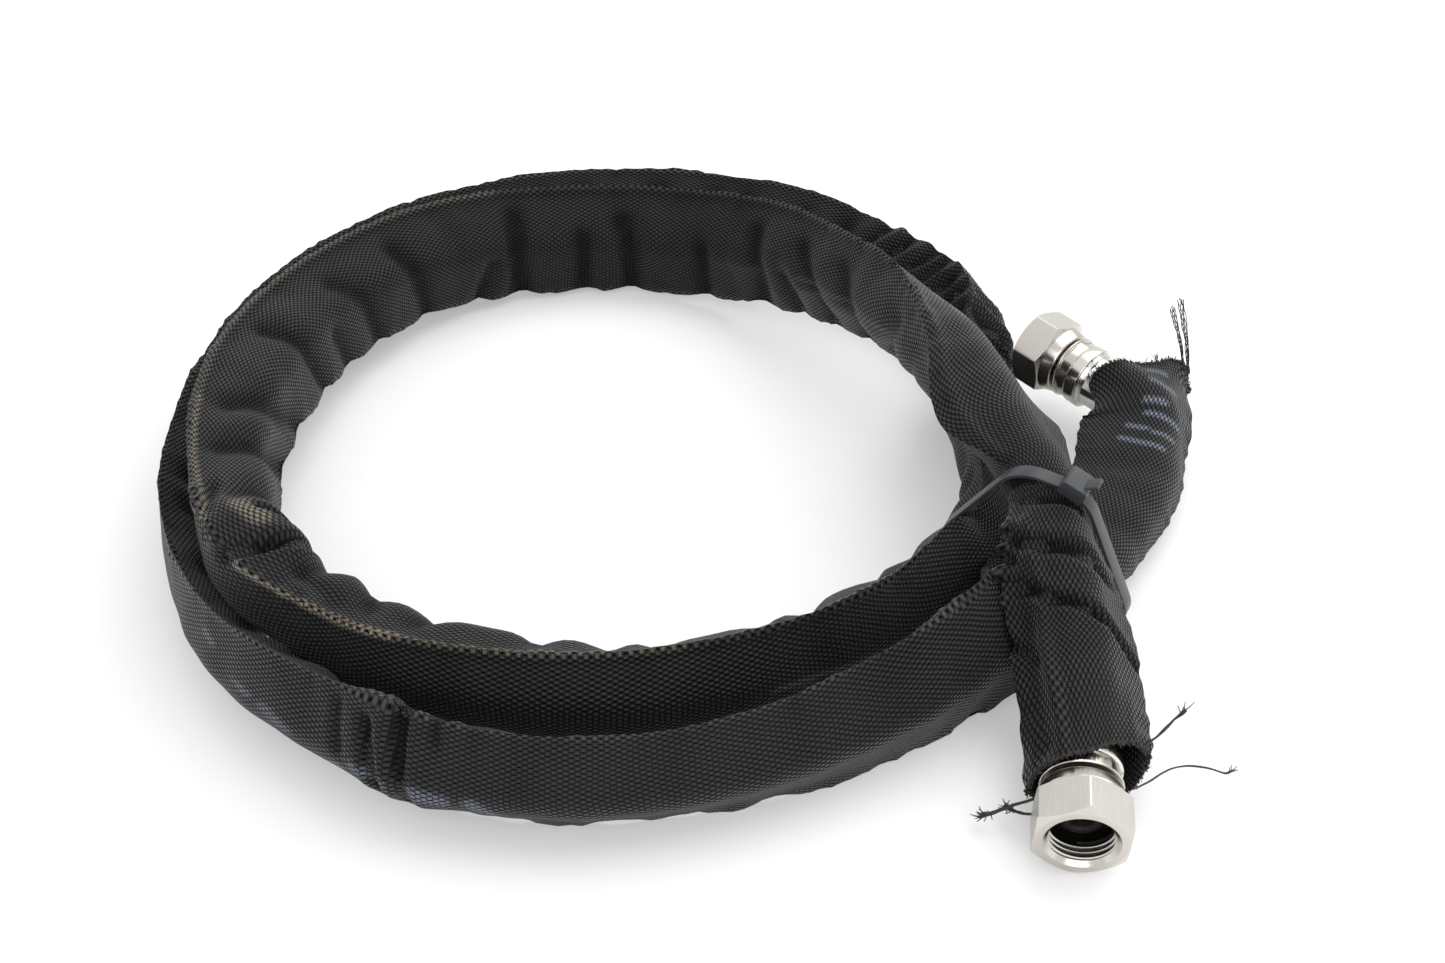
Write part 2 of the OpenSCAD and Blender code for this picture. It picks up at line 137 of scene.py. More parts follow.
SLEEVE_ROWS = np.array(
    [list(along(FIT_A, BACK_A, MOUTH_A_AT)) + [-88, 18, 18, 15]]
    + [list(along(FIT_A, BACK_A, FERRULE_END)) + [-86, 19, 19, 14]]
    + [placed_row(row) for row in SHARED]
    + [placed_row(TAIL_B)]
    + [list(along(FIT_B, BACK_B, MOUTH_B_AT)) + [-80, 12.5, 38, 12.5]]
)
HOSE_ROWS = np.array(
    [along(FIT_A, BACK_A, HOSE_START), along(FIT_A, BACK_A, FERRULE_END)]
    + [placed_row(row)[:3] for row in SHARED]
    + [along(FIT_B, BACK_B, FERRULE_END), along(FIT_B, BACK_B, HOSE_START)]
)


def smooth_through(rows, parts=24):
    """A smooth curve through rows of numbers, with that many parts between two rows."""
    ends = np.vstack([2 * rows[0] - rows[1], rows, 2 * rows[-1] - rows[-2]])
    t = np.arange(parts)[:, None] / parts
    found = []
    for a, b, c, d in zip(ends[:-3], ends[1:-2], ends[2:-1], ends[3:]):
        found.append(
            0.5 * (2 * b + (c - a) * t + (2 * a - 5 * b + 4 * c - d) * t**2
                   + (3 * b - a - 3 * c + d) * t**3)
        )
    return np.vstack(found + [rows[-1:]])


def lengths_of(points):
    """Distance along a line from its start to each of its points."""
    steps = np.linalg.norm(np.diff(points, axis=0), axis=1)
    return np.concatenate([[0], np.cumsum(steps)])


def resampled(curve, at, stations):
    """The curve's rows at so many even distances, or at the distances given, along it."""
    if np.isscalar(stations):
        stations = np.linspace(0, at[-1], stations)
    return np.stack([np.interp(stations, at, column) for column in curve.T], 1)


def ways_of(points):
    """Direction of a line at each of its points."""
    return unit(np.gradient(points, axis=0))


def frames_of(ways, lean_deg):
    """Across (outwards) and up directions of a section that leans from upright."""
    side = unit(np.cross(ways, [0, 0, 1.0]))
    rise = np.cross(side, ways)
    lean = np.radians(lean_deg)[:, None]
    up = rise * np.cos(lean) + side * np.sin(lean)
    out = side * np.cos(lean) - rise * np.sin(lean)
    return up, out


# ---------------- helpers for meshes
def link(obj):
    bpy.context.scene.collection.objects.link(obj)


def deselect():
    bpy.ops.object.select_all(action="DESELECT")


def select_only(obj):
    deselect()
    obj.select_set(True)
    bpy.context.view_layer.objects.active = obj


def edit_all():
    """Opens the active mesh for editing with all of it selected."""
    bpy.ops.object.mode_set(mode="EDIT")
    bpy.ops.mesh.select_all(action="SELECT")


def end_edit():
    bpy.ops.object.mode_set(mode="OBJECT")


def new_object(name, points_mm, faces):
    """A mesh object from points in millimetres."""
    mesh = bpy.data.meshes.new(name)
    mesh.from_pydata((np.asarray(points_mm) * MM).tolist(), [], faces)
    mesh.update()
    obj = bpy.data.objects.new(name, mesh)
    link(obj)
    return obj


def grid_faces(rings, n, base=0, inside=False):
    """Quads between rings of n points each, closed round the ring."""
    i, k = np.meshgrid(np.arange(rings - 1), np.arange(n), indexing="ij")
    a = base + i * n + k
    b = base + i * n + (k + 1) % n
    quads = np.stack([a, b, b + n, a + n], -1).reshape(-1, 4)
    return quads[:, ::-1] if inside else quads


def rings_round(line, sides):
    """Directions from each point of a line to the points of a ring round it."""
    up, out = frames_of(ways_of(line), np.zeros(len(line)))
    turn = 2 * PI * np.arange(sides) / sides
    return up[:, None] * np.cos(turn)[None, :, None] + out[:, None] * np.sin(turn)[None, :, None]


def read(items, what, each=1, kind=float):
    """A property of all points, corners or faces as an array."""
    values = np.zeros(len(items) * each, kind)
    items.foreach_get(what, values)
    return values


def use(obj, material):
    obj.data.materials.clear()
    obj.data.materials.append(material)


def smooth(obj, angle):
    """Smooth shading, with edges sharper than the angle left as they are."""
    select_only(obj)
    bpy.ops.object.shade_smooth_by_angle(angle=math.radians(angle))


# ---------------- materials
def rgb(code):
    """An sRGB hex colour as linear RGBA."""
    parts = [int(code[i : i + 2], 16) / 255 for i in (1, 3, 5)]
    return [c / 12.92 if c <= 0.04045 else ((c + 0.055) / 1.055) ** 2.4 for c in parts] + [1.0]


def feed(tree, node, inputs):
    """Links or sets a node's inputs, by socket name or number."""
    for socket, value in inputs.items():
        if isinstance(value, bpy.types.NodeSocket):
            tree.links.new(value, node.inputs[socket])
        else:
            node.inputs[socket].default_value = value


def add_node(tree, kind, inputs=None, **settings):
    """Adds a node with its settings by name and its inputs."""
    made = tree.nodes.new(kind)
    for name, value in settings.items():
        setattr(made, name, value)
    feed(tree, made, inputs or {})
    return made


def math_node(tree, operation, *inputs, clamp=False):
    return add_node(tree, "ShaderNodeMath", dict(enumerate(inputs)), operation=operation,
                    use_clamp=clamp).outputs[0]


def mixed_colour(tree, share, low, high):
    return add_node(tree, "ShaderNodeMix", {"Factor": share, 6: low, 7: high},
                    data_type="RGBA").outputs[2]


def new_material(name):
    material = bpy.data.materials.new(name)
    material.use_nodes = True
    tree = material.node_tree
    shader = tree.nodes["Principled BSDF"]
    return material, tree, shader


def woven_nylon():
    """Plain weave of thick dyed nylon yarn: satin bumps, painted shade in the gaps and in the
    hollows of the folds, some print and wear.
    """
    material, tree, shader = new_material("woven_nylon")

    mix, calc = partial(mixed_colour, tree), partial(math_node, tree)

    def noise(scale, detail, output="Fac"):
        return add_node(tree, "ShaderNodeTexNoise",
                        {"Vector": uv, "Scale": scale, "Detail": detail},
                        noise_dimensions="2D").outputs[output]

    def amount_of(name):
        return add_node(tree, "ShaderNodeAttribute", attribute_name=name).outputs["Fac"]

    # The map counts yarns, and they wander by up to two of their widths over some 30 of them
    uv = add_node(tree, "ShaderNodeUVMap", uv_map="yarns").outputs["UV"]
    uv = add_node(tree, "ShaderNodeVectorMath",
                  {0: noise(0.03, 2.0, "Color"), 1: (2.6, 2.0, 0), 2: uv},
                  operation="MULTIPLY_ADD").outputs[0]
    parts = add_node(tree, "ShaderNodeSeparateXYZ", {0: uv}).outputs
    waves = [calc("COSINE", calc("MULTIPLY", parts[k], PI)) for k in (0, 1)]
    weave = calc("MULTIPLY_ADD", calc("MULTIPLY", *waves), 0.5, 0.5)
    # A dip between neighbouring columns of yarn, which the colour shows as a dark line of painted
    # shade
    column = calc("POWER", calc("ABSOLUTE", calc("SINE", calc("MULTIPLY", parts[1], PI))), 6.0)
    height = calc("MULTIPLY_ADD", column, -0.25, calc("POWER", weave, 0.6))
    # Each yarn is a bundle of fine filaments
    filament = noise(1.7, 3.0)
    yarn = mix(noise(0.09, 3.0), rgb("#1b1c1e"), rgb("#22201e"))
    shade = calc("MULTIPLY_ADD", filament, 0.5, 0.75)
    yarn = add_node(tree, "ShaderNodeVectorMath", {0: yarn, "Scale": shade},
                    operation="SCALE").outputs[0]
    # Painted shade: the colour goes from the yarn's towards near black where the yarns dip into
    # their gaps
    shown = calc("MULTIPLY_ADD", height, 1.6, -0.3, clamp=True)
    # Painted shade: the hollows of the folds are made darker, and less glossy, than their rounded
    # tops
    shown = calc("MULTIPLY", shown, calc("MULTIPLY_ADD", amount_of("hollow"), -0.6, 1.0))
    colour = mix(shown, rgb("#0b0b0c"), yarn)
    # Wear and ink lie on the tops of the yarns, in spots
    for name, code, lowest in (("wear", "#9a907f", 0.4), ("ink", "#7b8492", 0.35)):
        spotty = calc("MULTIPLY_ADD", filament, 1.6, -0.8)
        raised = calc("MULTIPLY_ADD", height, 1.5, -lowest)
        mask = calc("MULTIPLY", amount_of(name), calc("ADD", raised, spotty, clamp=True))
        colour = mix(calc("MULTIPLY", mask, 1.2, clamp=True), colour, rgb(code))
    # The yarns stand about 0.5 mm proud of the gaps
    bump = add_node(tree, "ShaderNodeBump",
                    {"Height": height, "Distance": 0.5 * MM, "Strength": 1.0})
    # Only the tops of the yarns have a gloss and a sheen
    feed(tree, shader, {
        "Base Color": colour, "Normal": bump.outputs[0], "Roughness": 0.5,
        "Specular IOR Level": calc("MULTIPLY", shown, 0.3),
        "Sheen Weight": calc("MULTIPLY", shown, 0.22), "Sheen Roughness": 0.35})
    return material


STREAK_LENGTH = 25  # brushed streaks, in widths of one


def plain_material(name, code, roughness, metallic=0.0, grain_mm=0.6, grain=0.08, bump_mm=0.02,
                   along=None):
    """A finish with fine grain in its tone, roughness and relief, drawn out one way if given."""
    material, tree, shader = new_material(name)
    where = add_node(tree, "ShaderNodeTexCoord").outputs["Object"]
    if along is not None:
        b = unit(np.array(along))
        where = add_node(tree, "ShaderNodeMapping", {
            0: where, "Rotation": (0, math.acos(b[2]), math.atan2(b[1], b[0])),
            "Scale": (1, 1, STREAK_LENGTH)}, vector_type="TEXTURE").outputs[0]
    noise = add_node(tree, "ShaderNodeTexNoise",
                     {"Vector": where, "Scale": 1 / (grain_mm * MM), "Detail": 4.0}).outputs["Fac"]
    colour = rgb(code)
    light = [c * (1 + grain) for c in colour[:3]] + [1]
    dark = [c * (1 - 2 * grain) for c in colour[:3]] + [1]
    rough = add_node(tree, "ShaderNodeMapRange", {0: noise, 3: roughness * 0.8, 4: roughness * 1.2})
    bump = add_node(tree, "ShaderNodeBump", {"Height": noise, "Distance": bump_mm * MM})
    feed(tree, shader, {
        "Base Color": mixed_colour(tree, noise, dark, light), "Roughness": rough.outputs[0],
        "Normal": bump.outputs[0], "Metallic": metallic})
    return material


sleeve_cloth = woven_nylon()
# Nickel-plated steel: a warm, pale mirror softened by the turning marks under the plating
plated_steel = plain_material("plated_steel", "#cbc7bf", 0.22, 1.0, grain_mm=0.35, bump_mm=0.006)
# The same plating, pressed brighter and in broader patches by the crimping dies
crimped_steel = plain_material("crimped_steel", "#dedbd4", 0.2, 1.0, grain_mm=0.5, bump_mm=0.006)
# Painted shade: dark steel laid on the turned bores and cones, which are shaded inside and reflect
# next to nothing
bore_shade_steel = plain_material("bore_shade_steel", "#1a1815", 0.55, 0.6, grain_mm=0.5)
# Painted shade in the roots of the cut thread
thread_root_shade_steel = plain_material("thread_root_shade_steel", "#4a453d", 0.45, 1.0, grain_mm=0.4)
# Drawn spring steel: grey and even
spring_wire = plain_material("spring_wire", "#b5b0a6", 0.3, 1.0)
# Braid of brass-coated wire: dull gold with a coarse relief
braid_wire = plain_material("braid_wire", "#b39f7a", 0.4, 1.0, grain_mm=0.4, bump_mm=0.2)
# Synthetic rubber with the fine print of its curing tape: matt black
cover_rubber = plain_material("cover_rubber", "#232323", 0.7, grain_mm=0.5, bump_mm=0.1)
# Extruded nitrile rubber: darker and smoother
nitrile_rubber = plain_material("nitrile_rubber", "#1b1b1b", 0.55)
# Moulded and greased rubber ring: the one with a gloss
oring_rubber = plain_material("oring_rubber", "#141414", 0.35)
# Moulded nylon: dark grey satin
tie_nylon = plain_material("tie_nylon", "#36383b", 0.36, grain_mm=0.8, bump_mm=0.01)
# Cut ends of the sleeve's yarn, bleached to brown by light
yarn_nylon = plain_material("yarn_nylon", "#2c2723", 0.6, grain_mm=0.3, bump_mm=0.05)


# ---------------- camera, light and floor
SKY = (0.9, 0.9, 0.91, 1)
WHITE = (1, 1, 1, 1)
MIRRORED_WHITE = 0.6  # share of the white background that metal shows
FLOOR_LIFT = 0.3  # share of white that the camera sees mixed into the floor

camera = bpy.data.objects.new("camera", bpy.data.cameras.new("camera"))
link(camera)
camera.location = (0.010, -0.577, 0.384)
camera.rotation_euler = (math.radians(56.6), 0, 0)
camera.data.lens = 46.09
camera.data.sensor_width = 36
bpy.context.scene.camera = camera
bpy.context.scene.view_settings.view_transform = "Standard"


def area_light(name, at, towards, size, watts):
    """A square softbox that points at a place."""
    data = bpy.data.lights.new(name, "AREA")
    data.shape = "SQUARE"
    data.size = size
    data.energy = watts
    light = bpy.data.objects.new(name, data)
    light.location = at
    light.rotation_euler = (Vector(towards) - Vector(at)).to_track_quat("-Z", "Y").to_euler()
    link(light)


# The first gives the tops their light and the soft shadows, the second fills the front
area_light("top_softbox", (0.6, 0.25, 1.2), (0, 0, 0), 1.6, 11.0)
area_light("front_softbox", (0.1, -1.4, 0.75), (0, -0.05, 0), 1.2, 7.5)

world = bpy.data.worlds.new("studio")
bpy.context.scene.world = world
world.use_nodes = True
tree = world.node_tree
rays = add_node(tree, "ShaderNodeLightPath").outputs
mirrored = math_node(tree, "MULTIPLY", rays["Is Glossy Ray"], MIRRORED_WHITE)
seen = math_node(tree, "MAXIMUM", rays["Is Camera Ray"], mirrored)
seen = math_node(tree, "MAXIMUM", seen, rays["Is Transmission Ray"])
feed(tree, tree.nodes["Background"], {"Color": mixed_colour(tree, seen, SKY, WHITE)})

deselect()
bpy.ops.mesh.primitive_plane_add(size=8)
floor = bpy.context.active_object
floor.name = "floor"
# Matt white paint: all it shows is the soft shadow
floor_paint, tree, shader = new_material("floor_paint")
feed(tree, shader, {"Base Color": rgb("#fafafa"), "Roughness": 0.9})
rays = add_node(tree, "ShaderNodeLightPath").outputs
glow = add_node(tree, "ShaderNodeEmission", {"Strength": 1.0})
lift = math_node(tree, "MULTIPLY", rays["Is Camera Ray"], FLOOR_LIFT)
lifted = add_node(tree, "ShaderNodeMixShader", {0: lift, 1: shader.outputs[0], 2: glow.outputs[0]})
feed(tree, tree.nodes["Material Output"], {"Surface": lifted.outputs[0]})
use(floor, floor_paint)

# ---------------- the hose's five layers
# Name, inner and outer radius, finish
LAYERS = [
    ("hose_liner", 4.75, 6.25, nitrile_rubber),
    ("inner_braid", 6.25, 6.85, braid_wire),
    ("braid_interlayer", 6.85, 7.2, nitrile_rubber),
    ("outer_braid", 7.2, 7.8, braid_wire),
    ("hose_cover", 7.8, 8.7, cover_rubber),
]
HOSE_RINGS = 280
HOSE_SIDES = 16
hose_curve = smooth_through(HOSE_ROWS)
hose_line = resampled(hose_curve, lengths_of(hose_curve), HOSE_RINGS)


def tube_wall(line, r_in, r_out, sides):
    """Points and faces of a hollow tube along a line."""
    ring = rings_round(line, sides)
    rings = len(line)
    points = np.vstack([(line[:, None] + ring * r).reshape(-1, 3) for r in (r_out, r_in)])
    total = rings * sides
    k = np.arange(sides)
    near = np.stack([k, total + k, total + (k + 1) % sides, (k + 1) % sides], 1)
    far = (near + total - sides)[:, ::-1]
    faces = np.vstack([grid_faces(rings, sides, 0, True), grid_faces(rings, sides, total),
                       near[:, ::-1], far[:, ::-1]])
    return points, faces.tolist()


for layer, r_in, r_out, material in LAYERS:
    piece = new_object(layer + "_tube", *tube_wall(hose_line, r_in, r_out, HOSE_SIDES))
    use(piece, material)
    smooth(piece, 50)
    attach(piece, "root")
    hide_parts(layer)

# ---------------- the woven sleeve
GIRTH = 101  # round the flat cloth
YARN_ALONG = 1.58  # spacing of the columns of yarn along the sleeve
YARN_ROUND = GIRTH / 120  # spacing of the rows of yarn round the sleeve
SLEEVE_WALL = 1.2
HOSE_AND_WALL = 9.5  # nearest that the cloth's outside comes to the hose's axis
FLOOR_GAP = 0.15
STRAIGHT_A, STRAIGHT_B = 165, 90  # lengths next to the mouths where the cloth doesn't gather
ROUND = 96  # points round the outside
INNER_SHARE = 4  # points of the outside to one of the inside
COARSE_STEP, FINE_STEP, LINING_STEP = 3.5, 1.15, 5.0  # distances between rings
# Hundredth of the round at each point
W_OF = np.arange(ROUND) * 100 / ROUND

sleeve_curve = smooth_through(SLEEVE_ROWS)
sleeve_at = lengths_of(sleeve_curve[:, :3])
SLEEVE_LENGTH = sleeve_at[-1]

# Stretches with sharp folds, which need more rings
BUNCHES = [(0, 92), (172, 225), (722, 774), (1138, 1248), (1813, 1871), (2143, SLEEVE_LENGTH)]

# Places on the cloth are given as (s, w): millimetres from mouth A, and hundredths of the round
# from the upper crease. 25 is the middle of the side that looks outwards, 50 the lower crease,
# 75 the middle of the side that looks to the coil's centre. One hundredth is about 1 mm.
# Valleys of the folds: depth, half width, places
VALLEYS = [
    # below the cable tie
    (4.6, 2.6, [(80, -6), (76, 2), (72, 9), (70, 16), (69, 23), (66, 32), (62, 44)]),
    (5.0, 2.8, [(70, -4), (70, 1), (68, 5)]),
    (3.8, 2.4, [(64, -14), (62, -4), (60, 5), (57, 12), (52, 17)]),
    (3.6, 2.4, [(54, 14), (52, 22), (46, 31), (38, 42), (34, 50)]),
    (2.6, 2.4, [(90, 4), (87, 14), (86, 24), (82, 34)]),
    (2.2, 2.4, [(52, -10), (44, -2), (36, 6), (30, 10)]),
    (1.8, 2.2, [(99, 2), (96, 12), (95, 22)]),
    # the bunch at the left
    (2.8, 2.8, [(713, 92), (724, 95), (733, 99), (738, 104)]),
    (4.6, 2.6, [(735, 84), (738, 79), (742, 76), (744, 70)]),
    (5.0, 2.4, [(746, 104), (748, 97), (750, 91), (752, 84), (754, 77), (756, 66)]),
    (1.8, 2.6, [(728, 72), (730, 62), (734, 54)]),
    (1.2, 3.0, [(759, 88), (770, 92), (781, 96)]),
    # the bunch at the lower left
    (4.4, 2.7, [(1844, -6), (1843, 3), (1843, 9), (1844, 22)]),
    (3.8, 2.5, [(1832, 4), (1833, 12), (1835, 20), (1837, 30)]),
    (2.0, 3.2, [(1845, 23), (1844, 33)]),
    (1.6, 2.2, [(1855, -6), (1853, 2), (1854, 9)]),
    (1.5, 2.4, [(1822, 2), (1822, 12), (1824, 22)]),
]
# The stretch where the sleeve is pushed together, and the valleys between its rolls
PUSHED_FROM, PUSHED_TO = 1132, 1256
PUSHED = [
    (4.6, [(s + 14, -34), (s + 9, -16), (s + 2, -2), (s - 5, 12), (s - 10, 28), (s - 12, 44)])
    for s in (1147, 1158, 1167, 1177, 1187, 1200, 1209, 1224, 1238)
]
# Broad swellings of the gathered cloth: height, half width, places
SWELLS = [
    (1.8, 13, [(76, 10), (44, 30)]),
    (4.0, 9, [(82, -2), (66, -3)]),
    (2.4, 12, [(2020, 99), (2040, 101)]),
    (3.0, 12, [(730, 92), (745, 84)]),
    (3.0, 13, [(1836, 4), (1842, 30)]),
]
# Ridges along the flat sleeve's fold lines, with a hollow beside some: height, half width, places
RIDGES = [
    (1.5, 2.6, [(206, 0), (194, 1), (178, 3), (158, 5), (142, 8), (130, 7), (114, 2)]),
    (1.7, 1.7, [(228, 99), (459, 99), (625, 98), (700, 98), (735, 99)]),
    (-1.9, 2.3, [(228, 3.6), (459, 3.6), (625, 3), (735, 3.4)]),
    (1.2, 1.6, [(752, 1), (800, 0), (889, 0), (980, 0)]),
    (0.6, 1.6, [(1260, 0), (1471, 0), (1671, 0), (1790, 0)]),
    (2.6, 2.3, [(80, 8), (60, 12.5), (30, 12.5), (0, 17)]),
    (-1.8, 3.6, [(72, 3), (45, 6), (20, 6.5), (6, 9)]),
]
# Valleys between the rolls on the inside of the bend: half width, places
ROLLS = [
    (5.0, [(190, 66), (184, 82), (178, 92)]),
    (6.0, [(226, 58), (212, 74), (204, 86)]),
    (6.0, [(260, 53), (249, 74), (262, 88)]),
    (6.0, [(284, 55), (281, 73), (297, 86)]),
    (6.0, [(307, 50), (308, 70)]),
    (6.5, [(332, 50), (324, 71), (330, 86)]),
    (6.0, [(364, 50), (360, 74)]),
    (5.5, [(400, 48), (398, 73), (402, 84)]),
    (5.5, [(420, 50), (421, 77)]),
    (6.5, [(449, 48), (454, 74), (452, 90)]),
    (5.0, [(472, 48), (466, 68)]),
    (6.5, [(503, 48), (510, 71), (516, 84)]),
    (6.5, [(537, 48), (545, 71), (556, 84)]),
    (6.0, [(564, 50), (572, 66)]),
    (6.5, [(588, 46), (600, 70), (606, 88)]),
    (7.0, [(624, 46), (648, 69), (660, 88)]),
    (7.0, [(654, 46), (680, 70), (688, 90)]),
    (6.0, [(694, 46), (712, 68), (724, 88)]),
]
# More of them by their place at the middle of the inner side
ROLLS += [
    (5.5, [(s - lean, 50), (s, 74), (s + lean, 92)])
    for s, lean in ((766, -4), (784, 5), (810, -5), (843, 3), (864, 6), (887, -4), (917, 5),
                    (941, -6), (966, 4), (987, -4))
]
# From there on the rolls come by chance, with these ranges of step, lean and half width
CHANCE_FROM = 1010.0
CHANCE_STEP, CHANCE_LEAN, CHANCE_WIDTH = (19, 34), (-7, 7), (5, 7)
ROLL_RISE = (2.4, 3.9)  # lowest and highest rise between two valleys
PUSHED_RISE, PUSHED_SINK = 5.6, 2.4  # the same for the pushed stretch, and its valleys' depth
WANDER = 0.006  # unevenness of the whole sleeve, by its length
PUCKER = 0.12  # height of the puckers next to the creases
DEEP = 1.6  # depth of a hollow that gets the darkest painted shade
# Worn lines: strength, half width, places
WORN = [
    (0.7, 1.1, [(750, 2), (772, 1), (786, 1), (806, 0)]),
    (0.3, 1.0, [(806, 0), (834, 0), (889, 0)]),
    (0.2, 1.0, [(459, 99), (547, 99), (625, 98), (660, 97)]),
    (0.45, 1.1, [(660, 97), (697, 98), (726, 97), (734, 100)]),
    (0.5, 3.4, [(733, 88), (737, 87), (742, 86)]),
    (0.15, 1.0, [(295, 74), (255, 76), (223, 76), (182, 80)]),
    (0.12, 1.0, [(889, 0), (964, 0)]),
    (0.12, 1.0, [(1222, 0), (1305, 0), (1471, 0), (1671, 0)]),
    (0.12, 1.0, [(1731, 0), (1821, 0), (1931, 0), (2020, 0)]),
]
# Remains of faded marks with no lettering: strength, half width, places
FADED = [
    (0.6, 1.1, [(212, 14), (206, 15)]),
    (0.5, 1.1, [(198, 15), (188, 17)]),
    (0.5, 1.4, [(1760, 10), (1764, 12)]),
    (0.5, 1.5, [(1779, 18), (1784, 19)]),
    (0.45, 2.0, [(1793, 20), (1801, 23)]),
    (0.5, 2.0, [(1818, 29), (1823, 27)]),
    (0.4, 1.8, [(1829, 23), (1839, 24)]),
    (0.5, 2.4, [(1849, 24), (1856, 25)]),
    (0.5, 2.4, [(1864, 25), (1868, 30)]),
    (0.35, 1.1, [(914, 20), (926, 21), (940, 23), (956, 24)]),
    (0.8, 1.3, [(2210, 27), (2209, 33), (2207, 38)]),
    (0.7, 1.2, [(2204, 25), (2201, 31), (2200, 38)]),
    (0.8, 1.3, [(2196, 22), (2194, 30)]),
    (0.8, 1.4, [(2189, 24), (2187, 32), (2186, 38)]),
    (0.8, 1.3, [(2182, 18), (2180, 25)]),
    (0.75, 1.3, [(2178, 28), (2177, 36)]),
    (0.8, 1.4, [(2174, 16), (2171, 24), (2169, 32)]),
]
# Cut edge of the sleeve round fitting A: hundredth of the round, distance behind the nut's face,
# distance to the right and above the fitting's axis
MOUTH_A_EDGE = [
    (0, 19.6, -15.4, -4), (5, 19.2, -14.4, 3.5), (10, 20, -11.2, 9), (17, 20.5, -5.3, 13.2),
    (25, 23, 1.5, 13.2), (33, 27, 7.4, 12.4), (42, 30.4, 14.5, 9.6), (50, 30.8, 19.4, 4),
    (57, 29.8, 18.8, -1.5), (63, 28, 16.6, -6.5), (70, 26, 13, -10), (80, 26, 0, -14.4),
    (90, 23, -11.5, -10.5),
]
# The same round fitting B: hundredth, further along, further right and further up
MOUTH_B_EDGE = [
    (0, 9, 3.5, 1.5), (6, 8, 3, 1.5), (12, 4, 1, 1.5), (18, 2, -1, 1.5), (25, 1.5, -0.5, 1.5),
    (34, 1, -0.5, 4.5), (41, 1, -1, 7.5), (48, 0, -1.5, 8.5), (51, -2, -1, 6), (57, -5, 4.5, 3),
    (70, -4, 2, 0), (85, 3, 3, -1),
]
MOUTH_BLEND = 30.0  # length over which the section turns into the cut edge


def periodic(table, w):
    """Columns of a table by its first column, smoothly round the sleeve."""
    table = np.array(table, float)
    knots = np.concatenate([table[:, 0] - 100, table[:, 0], table[:, 0] + 100])
    columns = np.tile(table[:, 1:], (3, 1))
    return np.stack([np.interp(w, knots, column) for column in columns.T], -1)


def nearness(s, w, width, places):
    """Distance of each point from a line of places, in half widths, and the share along it."""
    places = np.array(places, float)
    best = np.full(np.broadcast(s, w).shape, 1e3)
    share = np.zeros_like(best)
    at = lengths_of(places)
    middle = places[:, 1].mean()
    w = (w - middle + 50) % 100 - 50 + middle
    for a, b, la, lb in zip(places[:-1], places[1:], at[:-1], at[1:]):
        step = b - a
        t = np.clip(((s - a[0]) * step[0] + (w - a[1]) * step[1]) / (step @ step), 0, 1)
        away = np.hypot(s - a[0] - t * step[0], w - a[1] - t * step[1]) / width
        closer = away < best
        best = np.where(closer, away, best)
        share = np.where(closer, (la + t * (lb - la)) / at[-1], share)
    return best, share


def on_rings(stations, lines, effect):
    """Adds up effects of lines of places over the rings that they reach."""
    total = np.zeros((len(stations), ROUND))
    for strength, width, places in lines:
        # Five half widths away an effect has died out
        low = min(p[0] for p in places) - 5 * width
        high = max(p[0] for p in places) + 5 * width
        i = np.where((stations >= low) & (stations <= high))[0]
        if len(i):
            away, share = nearness(stations[i][:, None], W_OF[None], width, places)
            total[i] += effect(strength, away, share)
    return total


def valley(depth, away, share):
    """A furrow with a slight lip on both sides, that fades out at its ends."""
    fade = 1 - np.abs(2 * share - 1) ** 5
    return -depth * (1 - 0.55 * away**2) * np.exp(-(away**2) / 1.3) * (0.25 + 0.75 * fade)


def swell(height, away, share):
    """A rounded rise, or a hollow where the height is below nothing."""
    return height * np.exp(-(away**2))


def rolls(stations, lines):
    """How far the cloth rises between valleys, from nothing in a valley to one."""
    far, margin = 4.0, 60  # half widths and millimetres at which a valley no longer counts
    nearest = np.full((len(stations), ROUND), far)
    for width, places in lines:
        i = np.where((stations > places[0][0] - margin) & (stations < places[-1][0] + margin))[0]
        if len(i):
            away, _ = nearness(stations[i][:, None], W_OF[None], width, places)
            nearest[i] = np.minimum(nearest[i], away)
    return 1 - np.exp(-(nearest**1.7))


def mark(strength, away, share):
    """A mark that is even across its width and stops fairly sharply."""
    return strength * np.exp(-((away * 0.95) ** 4))


def ramp(x, start, width):
    """From nothing at the start to one a width further on; a width below nothing looks back."""
    return np.clip((x - start) / width, 0, 1)


def eased(share):
    """The same way from nothing to one, without corners."""
    return share * share * (3 - 2 * share)


def flat_section(reach_up, reach_down, r, n=ROUND):
    """The section's points [up, out], as two creases joined by tangents to a circle."""
    fine = 40  # points on the circle before they are spread evenly
    found = []
    for up, down, radius in zip(reach_up, reach_down, r):
        a0 = math.acos(min(1, radius / up))
        a1 = PI - math.acos(min(1, radius / down))
        a = np.linspace(a0, a1, fine)
        half = np.vstack([[up, 0], np.c_[radius * np.cos(a), radius * np.sin(a)], [-down, 0]])
        at = lengths_of(half)
        even = np.linspace(0, at[-1], n // 2 + 1)
        half = np.c_[np.interp(even, at, half[:, 0]), np.interp(even, at, half[:, 1])]
        found.append(np.vstack([half, half[-2:0:-1] * [1, -1]]))
    return np.array(found)


probe = np.linspace(0, SLEEVE_LENGTH, 4000)
spacing = np.full(len(probe), COARSE_STEP)
for low, high in BUNCHES:
    spacing[(probe > low - 4) & (probe < high + 4)] = FINE_STEP
rings_to = np.concatenate([[0], np.cumsum(np.diff(probe) / spacing[1:])])
RINGS = int(rings_to[-1]) + 1
stations = np.interp(np.linspace(0, rings_to[-1], RINGS), rings_to, probe)
rows = resampled(sleeve_curve, sleeve_at, stations)
ways = ways_of(rows[:, :3])
up, out = frames_of(ways, rows[:, 3])
fullness = rows[:, 6]
section = flat_section(*rows[:, 4:7].T)
